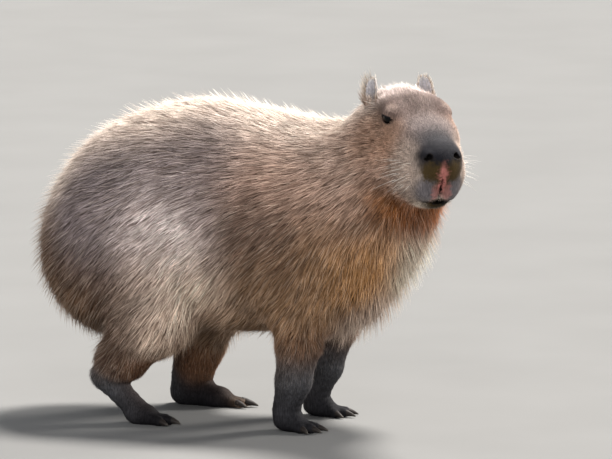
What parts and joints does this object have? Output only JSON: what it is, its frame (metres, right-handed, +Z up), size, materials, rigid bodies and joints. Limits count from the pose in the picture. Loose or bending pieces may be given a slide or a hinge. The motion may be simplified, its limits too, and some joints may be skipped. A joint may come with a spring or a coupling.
{
  "type": "capybara model",
  "caption": "Life-size capybara standing square with its head turned to its right, whole and shaggy-coated, resting on flat soles.",
  "frame": {"origin": "centre of the underside of the box around the model, on the floor that the soles rest on", "axes": "+Z up, -Y the way the body faces, +Y towards the rump, -X the animal's right side, to which the head turns"},
  "size_m": [0.3985, 0.8949, 0.6662],
  "materials": {
    "coat": "coarse golden-brown hair",
    "leg_coat": "short dark hair",
    "nose_skin": "dark, finely wrinkled skin",
    "ear_skin": "thin grey skin with a fringe",
    "claw_horn": "dark horn",
    "eye_gloss": "wet and glossy"
  },
  "bodies": {
    "root": {"ear_left": "ear_skin", "ear_right": "ear_skin", "eye_left": "eye_gloss", "eye_right": "eye_gloss", "fore_claw_left_1": "claw_horn", "fore_claw_left_2": "claw_horn", "fore_claw_left_3": "claw_horn", "fore_claw_left_4": "claw_horn", "fore_claw_right_1": "claw_horn", "fore_claw_right_2": "claw_horn", "fore_claw_right_3": "claw_horn", "fore_claw_right_4": "claw_horn", "fore_foot_left": "leg_coat", "fore_foot_right": "leg_coat", "fore_leg_left": "leg_coat", "fore_leg_right": "leg_coat", "head": "coat", "hind_claw_left_1": "claw_horn", "hind_claw_left_2": "claw_horn", "hind_claw_left_3": "claw_horn", "hind_claw_right_1": "claw_horn", "hind_claw_right_2": "claw_horn", "hind_claw_right_3": "claw_horn", "hind_foot_left": "leg_coat", "hind_foot_right": "leg_coat", "lower_jaw": "coat", "neck": "coat", "nose": "nose_skin", "shank_left": "leg_coat", "shank_right": "leg_coat", "thigh_left": "coat", "thigh_right": "coat", "trunk": "coat"}
  },
  "joints": []
}
